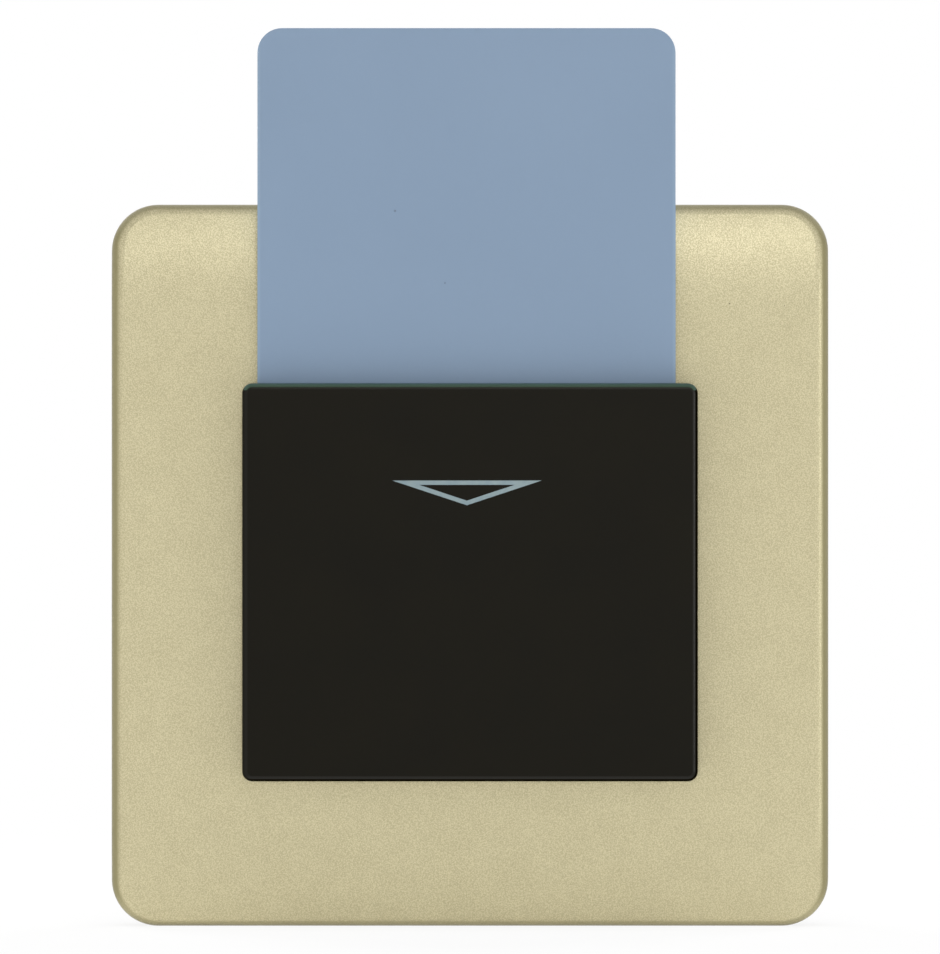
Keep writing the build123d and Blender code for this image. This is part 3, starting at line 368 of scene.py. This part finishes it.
# Circuit board. It is glass-filled epoxy with copper tracks under a green solder mask, and its sawn
# edges show the bare laminate. Leads from its rear end in small cones of solder on its front.
board_front = 8.2
board_rear = 9.8
mask_thickness = 0.04
track_spacing = 4.5
board, place = new_finish("board_green")
y = along(place, "Y")
cells = {"Vector": place, "Scale": 1 / track_spacing, "Randomness": 0.8}
network = {"feature": "DISTANCE_TO_EDGE", "distance": "EUCLIDEAN"}
tracks = ease(place.node("TexVoronoi", network, cells), 0.22, 0.19)
laminate = (y > board_front + mask_thickness) * (y < board_rear - mask_thickness)
mask_colour = between(tracks, screen(22, 82, 48), screen(44, 118, 66))
weave = patches(place, 0.3, 2.0)
dress(
    board,
    {
        "Base Color": between(laminate, mask_colour, screen(168, 160, 104)),
        "Roughness": ease(weave, 0.2, 0.8, 0.26, 0.36) + 0.3 * laminate,
        "Normal": relief(tracks + 0.2 * weave, 0.03),
    },
    "circuit_board",
)

tin, place = new_finish("tinned")
cloud = ease(patches(place, 0.6, 2.0), 0.3, 0.7)
dress(
    tin,
    {
        "Base Color": between(cloud, screen(196, 194, 188), screen(214, 212, 207)),
        "Metallic": 1.0,
        "Roughness": ease(cloud, 0.0, 1.0, 0.2, 0.34),
        "Normal": relief(patches(place, 0.2), 0.006),
    },
    "microswitch_pins",
    "lamp_leads",
    "relay_pins",
    "film_capacitor_leads",
    "smoothing_capacitor_leads",
    "varistor_leads",
    "diode_leads",
    "resistor_leads",
    "timer_chip_legs",
    "transistor_legs",
)

# Each step of a solder cone: how far it reaches beyond the lead, and how high it stands
solder_profile = ((0.62, 0.0), (0.34, 0.14), (0.14, 0.38), (0.02, 0.7))
solder_segment_count = 20
# A lead's points stand at least this far out of the board, and lie this near to each other
tail_least_height = 0.9
tail_reach = 1.5


def lead_tails(name):
    """The place and radius of each lead of a node where it stands out of the board's front."""
    ends = []
    for vertex in nodes[name].data.vertices:
        if vertex.co.y < (board_front - tail_least_height) / 1000:
            for end in ends:
                if (end[0] - vertex.co).length < tail_reach / 1000:
                    end.append(vertex.co)
                    break
            else:
                ends.append([vertex.co])
    for end in ends:
        middle = sum(end, Vector()) / len(end)
        yield middle.x, middle.z, max((point - middle).length for point in end)


solder = bmesh.new()
for name in (
    "relay_pins",
    "film_capacitor_leads",
    "smoothing_capacitor_leads",
    "varistor_leads",
    "diode_leads",
    "resistor_leads",
    "timer_chip_legs",
    "transistor_legs",
    "terminal_pillars",
):
    for tail_x, tail_z, tail_radius in lead_tails(name):
        rings = []
        for reach, rise in solder_profile:
            radius = tail_radius + reach / 1000
            ring = []
            for step in range(solder_segment_count):
                turn = 2 * math.pi * step / solder_segment_count
                point = (
                    tail_x + radius * math.cos(turn),
                    (board_front - rise) / 1000,
                    tail_z + radius * math.sin(turn),
                )
                ring.append(solder.verts.new(point))
            rings.append(ring)
        for low, high in zip(rings, rings[1:]):
            for step in range(solder_segment_count):
                after = (step + 1) % solder_segment_count
                solder.faces.new((low[step], low[after], high[after], high[step]))
        solder.faces.new(reversed(rings[0]))
        solder.faces.new(rings[-1])
bmesh.ops.recalc_face_normals(solder, faces=solder.faces)
joints = bpy.data.meshes.new("solder_joints")
solder.to_mesh(joints)
solder.free()
for polygon in joints.polygons:
    polygon.use_smooth = len(polygon.vertices) == 4
joints.materials.append(tin)
solder_joints = bpy.data.objects.new("solder_joints", joints)
bpy.context.scene.collection.objects.link(solder_joints)
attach(solder_joints, "switch")

# Microswitch. Its case is a black glass-filled moulding that stands on the board by its soldered
# pins, and the tail of the card lever presses its red button.


def small_moulding(name, dark, light, smooth, rough, *names):
    """A small moulded or coated part: a cloudy colour, an even sheen and a faint orange peel."""
    moulding, place = new_finish(name)
    cloud = ease(patches(place, 1.6, 2.0), 0.3, 0.7)
    peel = patches(place, 0.3, 2.0)
    values = {
        "Base Color": between(cloud, dark, light),
        "Roughness": ease(peel, 0.2, 0.8, smooth, rough),
        "Normal": relief(peel, 0.008),
    }
    dress(moulding, values, *names)


small_moulding("switch_black", screen(26, 26, 27), screen(34, 34, 35), 0.4, 0.52, "microswitch_case")
small_moulding("button_red", screen(168, 44, 36), screen(184, 52, 42), 0.36, 0.46, "microswitch_button")

# Locator lamp and light pipe. The lamp is a clear blue-tinted epoxy body, and the pipe is polished
# clear acrylic that takes its light forward to the slot.


def clear_moulding(name, colour, *names):
    """A see-through moulding with a faintly uneven surface."""
    clear, place = new_finish(name)
    ripple = patches(place, 1.2)
    values = {
        "Base Color": between(ripple, colour, screen(240, 244, 247)),
        "Roughness": ease(ripple, 0.2, 0.8, 0.04, 0.1),
        "IOR": 1.49,
        "Transmission Weight": 0.9,
        "Normal": relief(ripple, 0.01),
    }
    dress(clear, values, *names)


clear_moulding("lamp_blue", screen(150, 190, 238), "locator_lamp")
clear_moulding("clear_acrylic", screen(226, 236, 240), "light_pipe")

# Relay, capacitors, varistor, diodes, resistor, timer chip and transistor, which stand on the rear of
# the board. Cases are moulded, the varistor is dipped, and the can has a shrunk sleeve.
small_moulding("relay_blue", screen(38, 76, 146), screen(46, 86, 158), 0.2, 0.3, "relay")
small_moulding("film_yellow", screen(214, 178, 66), screen(224, 188, 78), 0.26, 0.36, "film_capacitor")
small_moulding("varistor_blue", screen(44, 96, 156), screen(54, 108, 168), 0.22, 0.34, "varistor")
small_moulding(
    "diode_black", screen(30, 30, 31), screen(38, 38, 39), 0.4, 0.5, "timer_chip", "driver_transistor"
)

sleeve_end = 21.2
sleeve_stripe_start = 10.6
sleeve, place = new_finish("can_sleeve")
x, y = along(place, "X"), along(place, "Y")
stripe = (x > sleeve_stripe_start) * (y < sleeve_end)
end_metal = y > sleeve_end + 0.05
cloud = patches(place, 2.0, 2.0)
sleeve_colour = between(cloud, screen(30, 31, 36), screen(38, 39, 45))
sleeve_colour = between(stripe, sleeve_colour, screen(170, 172, 176))
dress(
    sleeve,
    {
        "Base Color": between(end_metal, sleeve_colour, screen(206, 207, 209)),
        "Metallic": end_metal * 0.9,
        "Roughness": ease(cloud, 0.2, 0.8, 0.22, 0.32),
        "Normal": relief(cloud, 0.01),
    },
    "smoothing_capacitor",
)

diode_band_low = 11.1
diode_band_high = 11.9
diode, place = new_finish("diode_body")
z = along(place, "Z")
band = (z > diode_band_low) * (z < diode_band_high)
cloud = patches(place, 0.8, 2.0)
epoxy = between(cloud, screen(28, 28, 29), screen(38, 38, 39))
dress(
    diode,
    {
        "Base Color": between(band, epoxy, screen(186, 187, 189)),
        "Roughness": ease(cloud, 0.2, 0.8, 0.4, 0.5),
        "Normal": relief(cloud, 0.006),
    },
    "rectifier_diodes",
)

ring_half_width = 0.42
resistor, place = new_finish("resistor_grey")
x = along(place, "X")
cloud = patches(place, 0.9, 2.0)
lacquer = between(cloud, screen(146, 158, 163), screen(158, 169, 174))
for ring_x, ring_colour in (
    (5.6, screen(112, 62, 32)),
    (7.4, screen(24, 24, 24)),
    (9.2, screen(196, 104, 38)),
    (12.0, screen(176, 140, 58)),
):
    lacquer = between(abs(x - ring_x) < ring_half_width, lacquer, ring_colour)
dress(
    resistor,
    {
        "Base Color": lacquer,
        "Roughness": ease(cloud, 0.2, 0.8, 0.3, 0.42),
        "Normal": relief(cloud, 0.012),
    },
    "dropper_resistor",
)

# Terminal block. It is moulded in dark grey nylon round three machined brass pillars, whose zinc
# plated screws clamp the wires that come in from below.
small_moulding("block_plastic", screen(58, 58, 61), screen(66, 66, 69), 0.4, 0.52, "terminal_block")
plated_metal("brass", screen(196, 168, 112), screen(214, 186, 128), 0.2, 0.32, "terminal_pillars")

# Studio: a pale floor, a white background and the camera of the photograph, a metre in front. The
# front lamp lights the faces, the sheen and right lamps only gleam on them, two lamps behind light
# the sides and the back, and the floor lamp lights the floor alone, which glows up at the switch.
floor_height = cad_box[0].z
floor_reach = 3
floor_corners = ((-1, -1), (1, -1), (1, 1), (-1, 1))
floor_mesh = bpy.data.meshes.new("floor")
floor_mesh.from_pydata(
    [(floor_reach * x, floor_reach * y, floor_height) for x, y in floor_corners], [], [(0, 1, 2, 3)]
)
floor = bpy.data.objects.new("floor", floor_mesh)
bpy.context.scene.collection.objects.link(floor)


def seen_ray(wire):
    """1 for rays that show the background: the camera's own, and those of gloss and clear parts."""
    kinds = ("Is Camera Ray", "Is Glossy Ray", "Is Transmission Ray")
    camera_ray, glossy_ray, clear_ray = (wire.node("LightPath", {}, {}, kind) for kind in kinds)
    return wire.maths("MINIMUM", camera_ray + glossy_ray + clear_ray, 1.0)


pale_floor = bpy.data.materials.new("pale_floor")
pale_floor.use_nodes = True
tree = Wire(pale_floor.node_tree)
matt = tree.node("BsdfDiffuse", {}, {"Color": (0.8, 0.8, 0.8, 1)})
white = tree.node("Emission", {}, {"Color": (1, 1, 1, 1), "Strength": 1.0})
# The camera sees the floor white, but for a faint shadow close to the switch
spot = tree.node("TexCoord", {}, {}, "Object")
away = tree.node("VectorMath", {"operation": "LENGTH"}, {0: spot}, "Value")
whiteness = ease(away, 0.06, 0.3, 0.88, 1.0)
shown = tree.node("MixShader", {}, {0: whiteness * seen_ray(tree), 1: matt, 2: white})
tree.fill(pale_floor.node_tree.nodes["Material Output"].inputs, {"Surface": shown})
floor_mesh.materials.append(pale_floor)

world = bpy.data.worlds.new("studio")
world.use_nodes = True
bpy.context.scene.world = world
tree = Wire(world.node_tree)
room_level = 0.1
tree.fill(
    world.node_tree.nodes["Background"].inputs,
    {"Color": (1, 1, 1, 1), "Strength": room_level + (1 - room_level) * seen_ray(tree)},
)

for lamp_name, lamp_place, lamp_width, lamp_watts, matt_light, gloss_light in (
    ("front_lamp", (0.0, -1.25, 0.02), 0.12, 7.95, True, False),
    ("sheen_lamp", (0.1, -0.88, 0.44), 0.26, 1.65, False, True),
    ("right_lamp", (0.85, -0.7, 0.06), 0.3, 2.3, False, True),
    ("left_rear_lamp", (-0.65, 0.9, 0.7), 0.5, 8.0, True, False),
    ("right_rear_lamp", (0.65, 0.9, 0.7), 0.5, 8.0, True, False),
    ("floor_lamp", (0.0, -0.3, 1.25), 1.0, 16.0, True, True),
):
    light = bpy.data.lights.new(lamp_name, "AREA")
    light.size = lamp_width
    light.energy = lamp_watts
    lamp = bpy.data.objects.new(lamp_name, light)
    lamp.location = lamp_place
    lamp.rotation_euler = Vector(lamp_place).to_track_quat("Z", "Y").to_euler()
    lamp.visible_diffuse = matt_light
    lamp.visible_glossy = gloss_light
    bpy.context.scene.collection.objects.link(lamp)

lit_floor = bpy.data.collections.new("lit_floor")
lit_floor.objects.link(floor)
bpy.data.objects["floor_lamp"].light_linking.receiver_collection = lit_floor

camera_distance = 1.01068
camera_height = 0.01145
camera_data = bpy.data.cameras.new("photo_camera")
camera_data.lens = 292.2
camera_data.clip_start = 0.05
camera = bpy.data.objects.new("photo_camera", camera_data)
camera.location = (0, -camera_distance, camera_height)
camera.rotation_euler = (math.pi / 2, 0, 0)
bpy.context.scene.collection.objects.link(camera)
bpy.context.scene.camera = camera
bpy.context.scene.view_settings.view_transform = "Standard"
